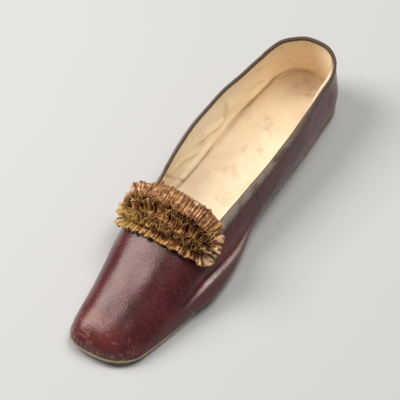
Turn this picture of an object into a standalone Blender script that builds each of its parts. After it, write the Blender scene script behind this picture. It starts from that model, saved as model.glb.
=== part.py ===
"""Flat leather slipper with a square toe and a ruched ribbon across the throat.

Units are metres and +Z is up. The toe points along -Y and the inner side of the foot is +X, so this
is the slipper of a right foot. The working functions use a shoemaker's station, "along": the distance
from the back of the heel towards the toe.
"""

import bisect
import math
from collections import namedtuple

import bpy
import numpy as np
from mathutils import Vector

MM = 0.001

# Sole
SOLE_LENGTH = 240.4 * MM
SOLE_THICKNESS = 3.0 * MM
SOLE_EDGE_ROUND = 0.9 * MM
HEEL_CENTRE = 24.0 * MM
HEEL_POWER = 2.2
TOE_START = 222.0 * MM
TOE_SLANT = 0.08
TOE_POWER_INNER = 2.4
TOE_POWER_OUTER = 3.4

# Floor line of the sole: flat under heel and ball, raised at the waist and the toe
WAIST_START = 62.0 * MM
WAIST_END = 128.0 * MM
WAIST_RISE = 2.0 * MM
SPRING_START = 188.0 * MM
TOE_SPRING = 4.0 * MM

# Upper
WALL = 1.5 * MM
CLEARANCE = 0.3 * MM
SEAT_INSET = 0.8 * MM
THROAT_ALONG = 140.0 * MM
THROAT_POWER = 2.8
THROAT_HALF_WIDTH = 23.8 * MM
COLLAR_BACK_HEIGHT = 48.5 * MM
COLLAR_DIP = 1.0 * MM
COLLAR_HEEL_CENTRE = 30.0 * MM
COLLAR_BACK_ALONG = 2.8 * MM
COLLAR_LEAN = 3.6 * MM
COLLAR_CURL = 5.5 * MM
NOSE_ALONG = 226.0 * MM
NOSE_PULL = 7.0 * MM
NOSE_SHARE = 0.2

# Insole, binding and ruched ribbon
INSOLE_THICKNESS = 1.2 * MM
INSOLE_MARGIN = 1.0 * MM
BINDING_THICKNESS = 0.4 * MM
BINDING_CLEARANCE = 0.36 * MM
BINDING_OUTSIDE = 4.5 * MM
BINDING_INSIDE = 3.0 * MM
RUCHE_STAND_OFF = 1.2 * MM
RUCHE_TURN_INNER = math.radians(38)
RUCHE_TURN_OUTER = math.radians(27)
RUCHE_RUN_BACK_INNER = 0.02
RUCHE_RUN_BACK_OUTER = -0.01
RUCHE_RUN_FRONT_INNER = 0.265
RUCHE_RUN_FRONT_OUTER = 0.325
RUCHE_PLEATS = 19
RUCHE_END_POWER = 6

# Number of facets
WALL_FACETS = 8
SIDE_FACETS = 13
HEEL_FACETS = 8
VAMP_FACETS = 18
THROAT_FACETS = 16
SOLE_SIDE_FACETS = 30
SOLE_ROUND_FACETS = 14
FACETS_PER_PLEAT = 4
RUCHE_FACETS = 12

# Sole edge and swell of the upper past it, on the inner and the outer side of the foot
SideRow = namedtuple("SideRow", "along inner outer swell_inner swell_outer")
SIDES = [
    SideRow(*(value * MM for value in row))
    for row in (
        (24, 22.5, 22.5, 2.2, 2.4),
        (50, 24.4, 23.6, 3.4, 3.0),
        (85, 25.8, 24.6, 4.2, 3.2),
        (115, 28.8, 26.8, 3.8, 2.6),
        (140, 32.4, 29.6, 3.4, 2.2),
        (160, 34.8, 30.4, 3.0, 1.6),
        (180, 35.2, 27.6, 1.9, 1.1),
        (200, 32.9, 23.2, 1.2, 0.8),
        (214, 30.2, 20.8, 0.9, 0.7),
        (222, 28.5, 19.7, 0.7, 0.6),
    )
]

# Top line of the quarters, as half widths of the opening
CollarRow = namedtuple("CollarRow", "along inner outer")
COLLAR_SIDES = [
    CollarRow(*(value * MM for value in row))
    for row in ((30, 24.4, 22.2), (65, 26.4, 28.4), (100, 26.6, 29.2), (140, 25.2, 22.4))
]

# Height of the vamp's middle line over the floor line
RidgeRow = namedtuple("RidgeRow", "along height")
RIDGE = [
    RidgeRow(*(value * MM for value in row))
    for row in ((130, 48.4), (140, 46.0), (160, 40.2), (180, 33.5), (200, 26.6), (215, 21.4), (226, 17.6))
]

# Height of the ruche's pleats from its throat edge to its toe edge: two gathered ribbons side by side
RucheRow = namedtuple("RucheRow", "down crest valley")
RUCHE_ROWS = [
    RucheRow(down, crest * MM, valley * MM)
    for down, crest, valley in (
        (0.00, 3.0, 1.6),
        (0.26, 2.2, 1.5),
        (0.50, 6.2, 2.6),
        (0.74, 2.2, 1.5),
        (1.00, 3.2, 1.6),
    )
]


def lerp(start, end, share):
    """The value a share of the way from start to end."""
    return start + (end - start) * share


def read_table(rows, column, station):
    """A column of a table at a station of its first column: a curve through the rows, straight past them."""
    stations = [row[0] for row in rows]
    values = [getattr(row, column) for row in rows]
    slopes = np.gradient(values, stations)
    inside = min(max(station, stations[0]), stations[-1])
    k = min(max(bisect.bisect(stations, inside) - 1, 0), len(rows) - 2)
    span = stations[k + 1] - stations[k]
    t = (inside - stations[k]) / span
    value = (2 * t**3 - 3 * t**2 + 1) * values[k] + (3 * t**2 - 2 * t**3) * values[k + 1]
    value += span * ((t**3 - 2 * t**2 + t) * slopes[k] + (t**3 - t**2) * slopes[k + 1])
    return value + (station - inside) * slopes[0 if station < inside else -1]


def arch(turn, power):
    """Shares across (1 to -1) and upward (0 to 1 to 0) of a rounded-square arch, for a turn from 0 to pi."""
    across = math.copysign(abs(math.cos(turn)) ** (2 / power), math.cos(turn))
    rise = abs(math.sin(turn)) ** (2 / power)
    return across, rise


def floor_line(along):
    """Height of the sole's underside: a low hump at the waist and a spring at the toe."""
    if WAIST_START < along < WAIST_END:
        share = (along - WAIST_START) / (WAIST_END - WAIST_START)
        return WAIST_RISE * math.sin(math.pi * share) ** 2
    if along > SPRING_START:
        return TOE_SPRING * ((along - SPRING_START) / (SOLE_LENGTH - SPRING_START)) ** 2
    return 0.0


def stand(side, along, height):
    """A point from its side offset, station and height over the floor line."""
    return Vector((side, SOLE_LENGTH / 2 - along, height + floor_line(along)))


def side_edge(along, hand, inset):
    """Side offset of the sole's outline, taken in by an inset. Hand is 1 on the inner side, else -1."""
    return hand * (read_table(SIDES, "inner" if hand > 0 else "outer", along) - inset)


def across_sole(along, across, inset):
    """Side offset at a share across the sole, from 1 on its inner edge to -1 on its outer edge."""
    inner, outer = side_edge(along, 1, inset), side_edge(along, -1, inset)
    return (inner + outer) / 2 + (inner - outer) / 2 * across


def toe_edge(turn, inset):
    """(side offset, along) round the toe, from the inner side at turn 0 to the outer side at pi.

    The sides run on straight, a rounded-square arch closes them, and its front slants a little."""
    across, rise = arch(turn, TOE_POWER_INNER if turn < math.pi / 2 else TOE_POWER_OUTER)
    along = lerp(TOE_START, SOLE_LENGTH - inset, rise)
    side = across_sole(along, across, inset)
    return side, along - TOE_SLANT * rise * side


def heel_edge(turn, hand, inset):
    """(side offset, along) round the heel, from the back at turn 0 to the side at a right angle."""
    rise, across = arch(turn, HEEL_POWER)
    return side_edge(HEEL_CENTRE, hand, inset) * across, lerp(HEEL_CENTRE, inset, rise)


def bezier(points, share):
    """A point on the cubic curve with these four control points."""
    a, b, c, d = points
    rest = 1 - share
    return a * rest**3 + b * 3 * rest**2 * share + c * 3 * rest * share**2 + d * share**3


def ridge_line(run):
    """(along, height) on the vamp's middle line, from the throat at run 0 over the nose to the seam at 1."""
    nose_run = 1 - NOSE_SHARE
    if run <= nose_run:
        along = lerp(THROAT_ALONG, NOSE_ALONG, run / nose_run)
        return along, read_table(RIDGE, "height", along)
    top = Vector(RIDGE[-1])
    slope = (top - Vector(RIDGE[-2])).normalized()
    tip = Vector((SOLE_LENGTH - SEAT_INSET, SOLE_THICKNESS + CLEARANCE))
    control = (top, top + slope * NOSE_PULL, tip + Vector((0, NOSE_PULL)), tip)
    return bezier(control, (run - nose_run) / NOSE_SHARE)


def throat_turn():
    """Turn of the arch at the throat's corners."""
    half = (side_edge(THROAT_ALONG, 1, SEAT_INSET) - side_edge(THROAT_ALONG, -1, SEAT_INSET)) / 2
    return math.acos((THROAT_HALF_WIDTH / half) ** (THROAT_POWER / 2))


def swell(along, hand, share):
    """How far the wall stands out between its seat at share 0 and its top at 1.

    It swells most a third of the way up, and below the top line it stands out so that the edge curls in."""
    share = min(share, 1)
    reach = read_table(SIDES, "swell_inner" if hand > 0 else "swell_outer", max(along, SIDES[0].along))
    curl = COLLAR_CURL * math.sin(math.pi * min(along / THROAT_ALONG, 1)) ** 2
    return reach * 6.75 * share * (1 - share) ** 2 + curl * (share**2 - share**8)


def vamp_point(run, turn):
    """Outer face of the vamp: run from throat to toe seam, turn from the inner seat to the outer one.

    Each run is an arch from seat to seat that leans forward to its place on the middle line, and at every
    point it is as wide as the sole is there."""
    hand = 1 if turn < math.pi / 2 else -1
    start = lerp(THROAT_ALONG, TOE_START, run)
    ridge_along, ridge_height = ridge_line(run)
    power = lerp(THROAT_POWER, TOE_POWER_INNER if hand > 0 else TOE_POWER_OUTER, run)
    across, rise = arch(turn, power)
    along = lerp(start, ridge_along, rise)
    side = across_sole(along, across, SEAT_INSET)
    height = lerp(SOLE_THICKNESS + CLEARANCE, ridge_height, rise)
    point = stand(side, along - TOE_SLANT * run**2 * rise * side, height)
    point.x += hand * swell(start, hand, rise / arch(throat_turn(), power)[1])
    return point


def horseshoe(sweep, heel_centre, back, half_width, power):
    """(side offset, along, outward direction) on a line round the quarters.

    Sweep is 1 at the inner throat corner, 0 at the back of the heel and -1 at the outer corner."""
    hand = 1 if sweep >= 0 else -1
    heel_share = HEEL_FACETS / (HEEL_FACETS + SIDE_FACETS)
    share = abs(sweep)
    if share > heel_share:
        along = lerp(heel_centre, THROAT_ALONG, (share - heel_share) / (1 - heel_share))
        return half_width(along, hand), along, Vector((hand, 0, 0))
    turn = share / heel_share * math.pi / 2
    rise, across = arch(turn, power)
    side = half_width(heel_centre, hand) * across
    outward = Vector((hand * math.sin(turn), math.cos(turn), 0))
    return side, lerp(heel_centre, back, rise), outward


def collar_half_width(along, hand):
    """Side offset of the quarters' top line."""
    return hand * read_table(COLLAR_SIDES, "inner" if hand > 0 else "outer", along)


def collar_point(sweep):
    """Top line of the quarters, falling from the heel to the throat's corners. Behind, it leans inwards."""
    hand = 1 if sweep >= 0 else -1
    corner_turn = throat_turn() if hand > 0 else math.pi - throat_turn()
    corner = vamp_point(0, corner_turn)
    if abs(sweep) == 1:
        return corner
    side, along, _ = horseshoe(sweep, COLLAR_HEEL_CENTRE, COLLAR_BACK_ALONG, collar_half_width, HEEL_POWER)
    share = (along - COLLAR_BACK_ALONG) / (THROAT_ALONG - COLLAR_BACK_ALONG)
    height = lerp(COLLAR_BACK_HEIGHT, corner.z, share) - COLLAR_DIP * math.sin(math.pi * share)
    lean = COLLAR_LEAN * max(0, 1 - along / COLLAR_HEEL_CENTRE) ** 2
    return Vector((side + lean, SOLE_LENGTH / 2 - along, height))


def quarter_point(sweep, share):
    """Outer face of the quarters, from the seat at share 0 to the top line at 1."""
    hand = 1 if sweep >= 0 else -1
    side, along, outward = horseshoe(
        sweep, HEEL_CENTRE, SEAT_INSET, lambda at, sign: side_edge(at, sign, SEAT_INSET), HEEL_POWER
    )
    seat = stand(side, along, SOLE_THICKNESS + CLEARANCE)
    top = collar_point(sweep)
    across, rise = arch(throat_turn() * share, THROAT_POWER)
    top_across, top_rise = arch(throat_turn(), THROAT_POWER)
    inward = (1 - across) / (1 - top_across)
    upward = rise / top_rise
    lean = top - seat
    point = seat + Vector((lean.x * inward, lean.y * inward, lean.z * upward))
    return point + outward * swell(along, hand, upward)


def vamp_turns():
    """Turns of the vamp's columns: up the inner wall, across the throat and down the outer wall."""
    corner = throat_turn()
    wall = [corner * k / WALL_FACETS for k in range(WALL_FACETS)]
    across = [lerp(corner, math.pi - corner, k / THROAT_FACETS) for k in range(THROAT_FACETS + 1)]
    return wall + across + [math.pi - turn for turn in reversed(wall)]


def quarter_sweeps():
    """Sweeps of the quarters' columns from the inner throat corner round the heel to the outer one."""
    steps = HEEL_FACETS + SIDE_FACETS
    return [1 - k / steps for k in range(2 * steps + 1)]


def grid_faces(rows):
    """Quads between neighbouring rows of vertex numbers."""
    faces = []
    for low, high in zip(rows, rows[1:]):
        for k in range(len(low) - 1):
            faces.append((low[k], low[k + 1], high[k + 1], high[k]))
    return faces


def number_grid(points, grid):
    """Adds a grid of points to a list, and gives the grid of their numbers."""
    numbers = []
    for row in grid:
        numbers.append(list(range(len(points), len(points) + len(row))))
        points.extend(row)
    return numbers


def leather(name, colour, roughness):
    """A plain finish."""
    material = bpy.data.materials.new(name)
    material.use_nodes = True
    shader = material.node_tree.nodes["Principled BSDF"]
    shader.inputs["Base Color"].default_value = (*colour, 1)
    shader.inputs["Roughness"].default_value = roughness
    shader.inputs["Metallic"].default_value = 0
    return material


def add_piece(name, points, faces, material, smooth_angle=40):
    """A named object made of these points and faces."""
    mesh = bpy.data.meshes.new(name)
    mesh.from_pydata([tuple(point) for point in points], [], faces)
    mesh.validate()
    mesh.shade_smooth()
    mesh.set_sharp_from_angle(angle=math.radians(smooth_angle))
    mesh.materials.append(material)
    piece = bpy.data.objects.new(name, mesh)
    bpy.context.scene.collection.objects.link(piece)
    return piece


def add_wall(piece, thickness, offset):
    """Gives a sheet its thickness: offset -1 is inwards, 0 is half each way."""
    wall = piece.modifiers.new("wall", "SOLIDIFY")
    wall.thickness = thickness
    wall.offset = offset
    wall.use_even_offset = True
    wall.use_rim = True
    return wall


def thicken(points, faces, depth, level):
    """Adds the inner face and the rims of a wall behind a sheet of points.

    The inner points lie straight behind the outer ones; those in the set "level" keep their height."""
    outer = np.array(points)
    normals = np.zeros_like(outer)
    for face in faces:
        a, b, c, d = outer[list(face)]
        normals[list(face)] += np.cross(c - a, d - b)
    normals[sorted(level), 2] = 0
    normals /= np.linalg.norm(normals, axis=1, keepdims=True)
    count = len(points)
    edges = [edge for face in faces for edge in zip(face, face[1:] + face[:1])]
    paired = set(edges)
    inside = [tuple(number + count for number in reversed(face)) for face in faces]
    rims = [(b, a, a + count, b + count) for a, b in edges if (b, a) not in paired]
    return [*points, *(outer - normals * depth)], faces + inside + rims


def make_upper():
    """Vamp and quarters in one: a shell open at the collar and underneath."""
    points = []
    turns = vamp_turns()
    runs = [k / VAMP_FACETS for k in range(VAMP_FACETS + 1)]
    vamp = number_grid(points, [[vamp_point(run, turn) for turn in turns] for run in runs])
    shares = [k / WALL_FACETS for k in range(WALL_FACETS + 1)]
    sweeps = quarter_sweeps()
    inside = [[quarter_point(sweep, share) for share in shares] for sweep in sweeps[1:-1]]
    inner_wall = vamp[0][: WALL_FACETS + 1]
    outer_wall = vamp[0][: -WALL_FACETS - 2 : -1]
    quarters = [inner_wall, *number_grid(points, inside), outer_wall]
    faces = grid_faces(vamp) + [face[::-1] for face in grid_faces(quarters)]
    seat = {row[0] for row in quarters + vamp} | {row[-1] for row in vamp} | set(vamp[-1])
    points, faces = thicken(points, faces, WALL, seat)
    return add_piece("upper", points, faces, leather("burgundy_kid", (0.085, 0.02, 0.028), 0.42))


def outline_rows(inset):
    """Pairs of (side offset, along), outer and inner, from behind the heel to the toe's tip."""
    rows = []
    for k in range(1, SOLE_ROUND_FACETS):
        turn = math.pi / 2 * k / SOLE_ROUND_FACETS
        rows.append((heel_edge(turn, -1, inset), heel_edge(turn, 1, inset)))
    for k in range(SOLE_SIDE_FACETS):
        along = lerp(HEEL_CENTRE, TOE_START, k / SOLE_SIDE_FACETS)
        rows.append(((side_edge(along, -1, inset), along), (side_edge(along, 1, inset), along)))
    for k in range(SOLE_ROUND_FACETS):
        turn = math.pi / 2 * k / SOLE_ROUND_FACETS
        rows.append((toe_edge(math.pi - turn, inset), toe_edge(turn, inset)))
    return rows


def make_slab(name, inset, bottom, thickness, material, edge_round):
    """A flat layer with the sole's outline, following the floor line."""
    rows = outline_rows(inset)
    tips = ((0.0, inset), toe_edge(math.pi / 2, inset))
    points = []
    layers = []
    for height in (bottom, bottom + thickness):
        grid = [[stand(*spot, height) for spot in row] for row in rows]
        numbers = number_grid(points, grid)
        ends = number_grid(points, [[stand(*spot, height) for spot in tips]])[0]
        layers.append((numbers, ends))
    (low, low_ends), (high, high_ends) = layers
    faces = [face[::-1] for face in grid_faces(high)] + grid_faces(low)
    faces += [(low_ends[0], *low[0][::-1]), (high_ends[0], *high[0])]
    faces += [(low_ends[1], *low[-1]), (high_ends[1], *high[-1][::-1])]
    rim_low = [low_ends[0], *(row[1] for row in low), low_ends[1], *(row[0] for row in reversed(low))]
    rim_high = [high_ends[0], *(row[1] for row in high), high_ends[1], *(row[0] for row in reversed(high))]
    for k in range(len(rim_low)):
        after = (k + 1) % len(rim_low)
        faces.append((rim_low[k], rim_high[k], rim_high[after], rim_low[after]))
    piece = add_piece(name, points, faces, material)
    if edge_round:
        bevel = piece.modifiers.new("edge", "BEVEL")
        bevel.width = edge_round
        bevel.segments = 2
        bevel.limit_method = "ANGLE"
        bevel.angle_limit = math.radians(50)
    return piece


def make_outsole():
    """Thin turned sole."""
    material = leather("sole_leather", (0.23, 0.15, 0.09), 0.7)
    return make_slab("outsole", 0.0, 0.0, SOLE_THICKNESS, material, SOLE_EDGE_ROUND)


def make_insole():
    """Sock that lies on the sole inside the upper."""
    material = leather("cream_lining", (0.78, 0.62, 0.42), 0.8)
    inset = SEAT_INSET + WALL + INSOLE_MARGIN
    return make_slab("insole", inset, SOLE_THICKNESS + CLEARANCE, INSOLE_THICKNESS, material, 0)


def collar_steps():
    """Stations round the opening: a function of the distance from its edge, which gives a point of the
    upper's outer face and the face's outward direction there."""
    probe = 1e-4
    corner = throat_turn()

    def direction(first, second):
        return second.cross(first).normalized()

    def quarter_step(sweep):
        speed = (quarter_point(sweep, 1) - quarter_point(sweep, 1 - probe)).length / probe
        ahead = math.copysign(min(abs(sweep) + probe, 1), sweep)
        behind = ahead - math.copysign(2 * probe, sweep)

        def face(distance):
            share = 1 - distance / speed
            down = quarter_point(sweep, share - probe) - quarter_point(sweep, share)
            round_ = quarter_point(ahead, share) - quarter_point(behind, share)
            return quarter_point(sweep, share), direction(down, round_) * math.copysign(1, sweep)

        return face

    def throat_step(turn, lower):
        run_speed = (vamp_point(probe, turn) - vamp_point(0, turn)).length / probe
        turn_speed = (vamp_point(0, turn + probe) - vamp_point(0, turn)).length / probe

        def face(distance):
            run, at = distance / run_speed, turn + lower * distance / turn_speed
            forward = vamp_point(run + probe, at) - vamp_point(run, at)
            across = vamp_point(run, at + probe) - vamp_point(run, at - probe)
            return vamp_point(run, at), direction(forward, across)

        return face

    sweeps = quarter_sweeps()[1:-1]
    turns = [lerp(corner, math.pi - corner, k / THROAT_FACETS) for k in range(THROAT_FACETS + 1)]
    lowers = [-1] + [0] * (THROAT_FACETS - 1) + [1]
    steps = [quarter_step(sweep) for sweep in reversed(sweeps)]
    return steps + [throat_step(turn, lower) for turn, lower in zip(turns, lowers)]


def make_binding():
    """Ribbon folded over the edge of the opening, a little off the upper on both faces."""
    off = BINDING_CLEARANCE + BINDING_THICKNESS / 2
    points = []
    rows = []
    for face in collar_steps():
        edge, out = face(0)
        below = face(BINDING_OUTSIDE / 2)[0]
        away = (below - edge).normalized()
        outer = [face(BINDING_OUTSIDE * share) for share in (1, 0.5, 0)]
        inner_point, inner_out = face(BINDING_INSIDE)
        section = [point + normal * off for point, normal in outer]
        section += [edge - away * off, edge - away * off - out * WALL]
        section += [edge - out * (WALL + off), inner_point - inner_out * (WALL + off)]
        rows.append(section)
    numbers = number_grid(points, rows)
    faces = grid_faces([*numbers, numbers[0]])
    piece = add_piece("collar_binding", points, faces, leather("binding_silk", (0.16, 0.1, 0.085), 0.6))
    add_wall(piece, BINDING_THICKNESS, 0)
    return piece


def ruche_base(across, down):
    """Vamp point and outward direction under the ruche: across from 1 inner to -1 outer, down 0 to 1."""
    probe = 1e-4
    end_turn = RUCHE_TURN_INNER if across > 0 else RUCHE_TURN_OUTER
    turn = math.pi / 2 - across * (math.pi / 2 - end_turn)
    reach = (1 - abs(across) ** RUCHE_END_POWER) ** (1 / RUCHE_END_POWER)
    back = lerp(RUCHE_RUN_BACK_OUTER, RUCHE_RUN_BACK_INNER, 0.5 + across / 2)
    front = lerp(RUCHE_RUN_FRONT_OUTER, RUCHE_RUN_FRONT_INNER, 0.5 + across / 2)
    run = lerp(back, front, 0.5 + (down - 0.5) * reach)
    point = vamp_point(run, turn)
    forward = vamp_point(run + probe, turn) - point
    sideways = vamp_point(run, turn + probe) - point
    return point, sideways.cross(forward).normalized()


def ruche_height(across, down):
    """Height of the gathered ribbon: pleats between the table's crest and valley, set off by half a pleat
    where the two ribbons meet."""
    pleat = 0.5 + 0.5 * math.cos(math.pi * RUCHE_PLEATS * (across + 1) + math.pi * round(2 * down))
    return lerp(read_table(RUCHE_ROWS, "valley", down), read_table(RUCHE_ROWS, "crest", down), pleat)


def make_ruche():
    """Gathered ribbon across the throat: a band with its pleats raised, following the vamp."""
    columns = RUCHE_PLEATS * FACETS_PER_PLEAT
    end = 0.985
    top, bottom = [], []
    for i in range(columns + 1):
        across = lerp(end, -end, i / columns)
        low_row, high_row = [], []
        for k in range(RUCHE_FACETS + 1):
            down = k / RUCHE_FACETS
            point, normal = ruche_base(across, down)
            low_row.append(point + normal * RUCHE_STAND_OFF)
            high_row.append(point + normal * (RUCHE_STAND_OFF + ruche_height(across, down)))
        bottom.append(low_row)
        top.append(high_row)
    points = []
    high, low = number_grid(points, top), number_grid(points, bottom)
    faces = [face[::-1] for face in grid_faces(high)] + grid_faces(low)
    border = [(0, k) for k in range(RUCHE_FACETS)]
    border += [(i, RUCHE_FACETS) for i in range(columns)]
    border += [(columns, RUCHE_FACETS - k) for k in range(RUCHE_FACETS)]
    border += [(columns - i, 0) for i in range(columns)]
    for (i, k), (next_i, next_k) in zip(border, border[1:] + border[:1]):
        faces.append((high[i][k], high[next_i][next_k], low[next_i][next_k], low[i][k]))
    return add_piece("ribbon_ruche", points, faces, leather("ruche_silk", (0.3, 0.15, 0.05), 0.5), 60)


def centre_on_origin(pieces):
    """Parents the pieces to one empty, placed so that their common box stands centred on the origin."""
    root = bpy.data.objects.new("slipper", None)
    bpy.context.scene.collection.objects.link(root)
    for piece in pieces:
        piece.parent = root
    bpy.context.view_layer.update()
    graph = bpy.context.evaluated_depsgraph_get()
    corners = [Vector(corner) for piece in pieces for corner in piece.evaluated_get(graph).bound_box]
    low = Vector(min(corner[axis] for corner in corners) for axis in range(3))
    high = Vector(max(corner[axis] for corner in corners) for axis in range(3))
    root.location = (-(low.x + high.x) / 2, -(low.y + high.y) / 2, -low.z)


def main():
    for leftover in list(bpy.data.objects):
        bpy.data.objects.remove(leftover)
    centre_on_origin([make_outsole(), make_insole(), make_upper(), make_binding(), make_ruche()])


main()
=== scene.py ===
"""Looks of a flat leather slipper with a ruched ribbon across the throat, laid out as an add-on.

Every piece is a surface over two parameters, worked out as whole arrays in the shoemaker's own
coordinates, which the part's source uses too: "along" runs from the back of the heel to the toe, "side" is
positive on the inner side of the foot, and "height" is taken over the floor line of the sole.
"""

import math

import bpy
import numpy as np
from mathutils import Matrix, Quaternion, Vector


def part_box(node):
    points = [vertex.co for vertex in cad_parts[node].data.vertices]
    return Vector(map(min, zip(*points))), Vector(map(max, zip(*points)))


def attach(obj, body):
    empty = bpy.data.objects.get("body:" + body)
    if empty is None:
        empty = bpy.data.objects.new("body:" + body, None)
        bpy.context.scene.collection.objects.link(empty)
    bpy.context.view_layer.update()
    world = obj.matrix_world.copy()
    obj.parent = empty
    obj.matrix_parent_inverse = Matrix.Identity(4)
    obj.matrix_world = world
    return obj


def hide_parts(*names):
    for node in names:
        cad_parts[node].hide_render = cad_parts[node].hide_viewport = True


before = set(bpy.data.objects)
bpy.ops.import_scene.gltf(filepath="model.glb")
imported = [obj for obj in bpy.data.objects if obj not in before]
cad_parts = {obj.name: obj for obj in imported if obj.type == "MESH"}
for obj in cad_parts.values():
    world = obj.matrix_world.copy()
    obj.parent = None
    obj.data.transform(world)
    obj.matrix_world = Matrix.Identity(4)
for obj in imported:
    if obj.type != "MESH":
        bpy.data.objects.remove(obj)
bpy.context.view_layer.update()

bl_info = {
    "name": "Ruched Slipper",
    "version": (1, 0, 0),
    "blender": (4, 5, 0),
    "location": "View3D > Sidebar > Slipper",
    "description": "Builds a flat leather slipper with a gathered ribbon across its throat",
    "category": "Object",
}

MM = 0.001

# Sizes shared with the part's source
SOLE_LENGTH = 240.4 * MM
HEEL_CENTRE, HEEL_POWER = 24.0 * MM, 2.2
TOE_START, TOE_SLANT = 222.0 * MM, 0.08
TOE_POWER_INNER, TOE_POWER_OUTER = 2.4, 3.4
WAIST_START, WAIST_END, WAIST_RISE = 62.0 * MM, 128.0 * MM, 2.0 * MM
SPRING_START, TOE_SPRING = 188.0 * MM, 4.0 * MM
WALL = 1.5 * MM
SEAT_INSET, SEAT_HEIGHT = 0.8 * MM, 3.3 * MM
THROAT_ALONG, THROAT_POWER, THROAT_HALF_WIDTH = 140.0 * MM, 2.8, 23.8 * MM
COLLAR_BACK_HEIGHT, COLLAR_DIP, COLLAR_CURL = 48.5 * MM, 1.0 * MM, 5.5 * MM
COLLAR_HEEL_CENTRE, COLLAR_BACK_ALONG, COLLAR_LEAN = 30.0 * MM, 2.8 * MM, 3.6 * MM
NOSE_ALONG, NOSE_PULL, NOSE_SHARE = 226.0 * MM, 7.0 * MM, 0.2
HEEL_SHARE, SWELL_SCALE = 8 / 21, 27 / 4
RUCHE_TURN_INNER, RUCHE_TURN_OUTER = math.radians(38), math.radians(27)
RUCHE_RUN_BACK_INNER, RUCHE_RUN_BACK_OUTER = 0.02, -0.01
RUCHE_RUN_FRONT_INNER, RUCHE_RUN_FRONT_OUTER = 0.265, 0.325

# Sizes of the scene alone
COLLAR_WAVER = 0.3 * MM
ROW_CROWDING, ROW_SHIFT, TOE_CROWDING = 0.08, 0.15, 1.3
EDGE_REACH, EDGE_FADE = 40 * MM, (4 * MM, 9 * MM)
SOCK_TOP, SOCK_RIM = 4.5 * MM, 6.9 * MM
SOCK_RISE_HEEL, SOCK_RISE_TOE = 3.2, 0.3
TOE_CENTRE_SIDE, TOE_CENTRE_ALONG, TOE_PLEATS = 4 * MM, 200 * MM, 66
SIDE_SEAM, LINING_SEAM = 111 * MM, 108 * MM
BINDING_THICKNESS, BINDING_LIFT, BINDING_TURNED_UNDER = 0.22 * MM, 0.2 * MM, 2.4 * MM
STITCH_WIDTH, STITCH_LIFT, STITCH_PITCH = 0.24 * MM, 0.34 * MM, 2.3
RIBBON_THICKNESS, RIBBON_FULLNESS = 0.16 * MM, 2.4
RUCHE_END_POWER, LOOP_SQUARENESS, FOLD_STEPS = 12, 0.4, 20

# Small step along a surface, in its own parameters, that finds its directions
PROBE = 1e-4


def table(columns, *rows):
    """A short table in millimetres, as one array in metres for each named column."""
    return dict(zip(columns.split(), np.array(rows, float).T * MM))


# Sole edge and swell of the upper past it
SIDES = table(
    "along inner outer swell_inner swell_outer",
    (24, 22.5, 22.5, 2.2, 2.4),
    (50, 24.4, 23.6, 3.4, 3.0),
    (85, 25.8, 24.6, 4.2, 3.2),
    (115, 28.8, 26.8, 3.8, 2.6),
    (140, 32.4, 29.6, 3.4, 2.2),
    (160, 34.8, 30.4, 3.0, 1.6),
    (180, 35.2, 27.6, 1.9, 1.1),
    (200, 32.9, 23.2, 1.2, 0.8),
    (214, 30.2, 20.8, 0.9, 0.7),
    (222, 28.5, 19.7, 0.7, 0.6),
)

# Half widths of the opening
COLLAR_SIDES = table(
    "along inner outer", (30, 24.4, 22.2), (65, 26.4, 28.4), (100, 26.6, 29.2), (140, 25.2, 22.4)
)

# Middle line of the vamp
RIDGE = table(
    "along height",
    (130, 48.4),
    (140, 46.0),
    (160, 40.2),
    (180, 33.5),
    (200, 26.6),
    (215, 21.4),
    (226, 17.6),
)

# Crease on the inner side at the ball: height of its ledge, and how far the leather bulges out below it
BALL_CREASE = table(
    "along ledge bulge",
    (100, 16.5, 0.0),
    (117, 16.2, 0.5),
    (127, 16.4, 2.0),
    (136, 15.8, 3.2),
    (145, 16.2, 3.9),
    (160, 17.8, 3.7),
    (170, 17.8, 3.5),
    (178, 16.6, 2.3),
    (186, 15.0, 0.8),
    (198, 14.0, 0.0),
)

# Wrinkles of the lining on the outer side of the foot, each from one station and height to another
LINING_WRINKLES = table(
    "start_along start_height end_along end_height depth",
    (115, 5, 82, 10, 1.2),
    (122, 25, 94, 15, 0.8),
    (92, 21, 66, 18, 0.9),
    (61, 32, 64, 18, 1.0),
    (48, 12, 19, 13, 1.0),
    (44, 27, 26, 19, 0.5),
)


def lerp(start, end, share):
    """The value a share of the way from start to end."""
    return start + (end - start) * share


def smooth(value, low, high):
    """0 below low, 1 above high, with a smooth step between: 3t^2 - 2t^3."""
    t = np.clip((value - low) / (high - low), 0, 1)
    return t * t * (3 - 2 * t)


def bell(value, centre, width):
    """A bell curve: e to the power of minus the squared distance from the centre in widths."""
    return np.exp(-(((value - centre) / width) ** 2))


def unit(vectors):
    """Vectors scaled to length one."""
    return vectors / np.maximum(np.linalg.norm(vectors, axis=-1, keepdims=True), 1e-12)


def path_lengths(line):
    """Length of the way along a line of points, at each of them."""
    return np.concatenate([[0], np.cumsum(np.linalg.norm(np.diff(line, axis=0), axis=1))])


def between(spot, path, vectors):
    """Vectors at spots along a path, from those at its own points."""
    return np.stack([np.interp(spot, path, vectors[:, k]) for k in range(3)], -1)


def ripple(phase, seed, low, high, count=7):
    """A smooth irregular wave between about -1 and 1, which closes on itself as the phase goes from 0 to 1.

    It is a sum of sines with whole wave numbers between low and high and seeded starts."""
    random = np.random.default_rng(seed)
    waves = random.integers(low, high + 1, count)
    starts = random.uniform(0, 2 * np.pi, count)
    turns = 2 * np.pi * np.asarray(phase)[..., None] * waves + starts
    return np.sin(turns).sum(-1) / math.sqrt(count)


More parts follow.
